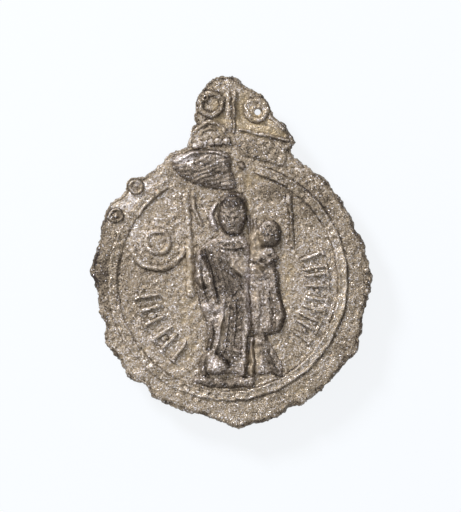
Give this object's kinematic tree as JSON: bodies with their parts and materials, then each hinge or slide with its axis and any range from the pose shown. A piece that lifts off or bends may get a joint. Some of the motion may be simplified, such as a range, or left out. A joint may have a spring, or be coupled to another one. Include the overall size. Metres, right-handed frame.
{
  "type": "pilgrim badge",
  "caption": "Round cast-metal badge with a gabled top, robed figures in low relief, a pierced eyelet and a springy pin with a catch on the back.",
  "frame": {"origin": "midway across the outline in X and Y, level with the underside of the catch", "axes": "+Z out of the badge's face, +Y up the badge towards its gable, +X to the right as one looks at the face"},
  "size_m": [0.0352, 0.044, 0.0054],
  "materials": {
    "alloy_field": "buried lead-tin alloy, granular taupe grey skin",
    "alloy_raised": "buried lead-tin alloy, worn brighter on what stands proud",
    "alloy_dark": "buried lead-tin alloy, dark grey patina",
    "alloy_back": "buried lead-tin alloy as cast, dull grey"
  },
  "bodies": {
    "badge": {"plate": "alloy_field", "crown_band": "alloy_field", "ring_outer_line": "alloy_raised", "ring_inner_line": "alloy_raised", "pillar_left": "alloy_raised", "pillar_right": "alloy_raised", "arch_left": "alloy_raised", "bar_right_1": "alloy_raised", "bar_right_2": "alloy_raised", "bar_right_3": "alloy_raised", "bar_right_4": "alloy_raised", "bar_right_5": "alloy_raised", "bar_right_6": "alloy_raised", "bar_right_7": "alloy_raised", "bar_right_8": "alloy_raised", "bar_right_9": "alloy_raised", "bar_left_1": "alloy_raised", "bar_left_2": "alloy_raised", "bar_left_3": "alloy_raised", "bar_left_4": "alloy_raised", "bar_left_5": "alloy_raised", "bar_left_6": "alloy_raised", "pellet_right_1": "alloy_raised", "pellet_right_2": "alloy_raised", "pellet_right_3": "alloy_raised", "pellet_right_4": "alloy_raised", "pellet_left_1": "alloy_raised", "pellet_left_2": "alloy_raised", "motif_ring": "alloy_raised", "motif_crescent": "alloy_raised", "roundel_left": "alloy_raised", "eyelet_collar": "alloy_raised", "gable_stem": "alloy_raised", "gable_base_ridge": "alloy_raised", "gable_slope_ridge": "alloy_raised", "gable_fan_1": "alloy_raised", "gable_fan_2": "alloy_raised", "crown_bead_1": "alloy_raised", "crown_bead_2": "alloy_raised", "crown_bead_3": "alloy_raised", "crown_bead_4": "alloy_raised", "crown_bead_5": "alloy_raised", "rim_lobe_1": "alloy_raised", "rim_lobe_2": "alloy_raised", "rim_bead_1": "alloy_raised", "rim_bead_2": "alloy_raised", "rim_bead_3": "alloy_raised", "tall_figure": "alloy_dark", "small_figure": "alloy_dark", "ground_mound": "alloy_dark", "canopy": "alloy_dark", "canopy_knob": "alloy_dark", "pin_boss": "alloy_back", "catch": "alloy_back"},
    "pin": {"pin": "alloy_back"}
  },
  "joints": [
    {"name": "pin_swing", "type": "hinge", "parent": "badge", "child": "pin", "pos_m": [-0.00947, 0.00114, 0.00116], "axis": [0, 0, -1], "range_deg": [0, 20], "stiffness_Nm_per_rad": 0.0005}
  ]
}
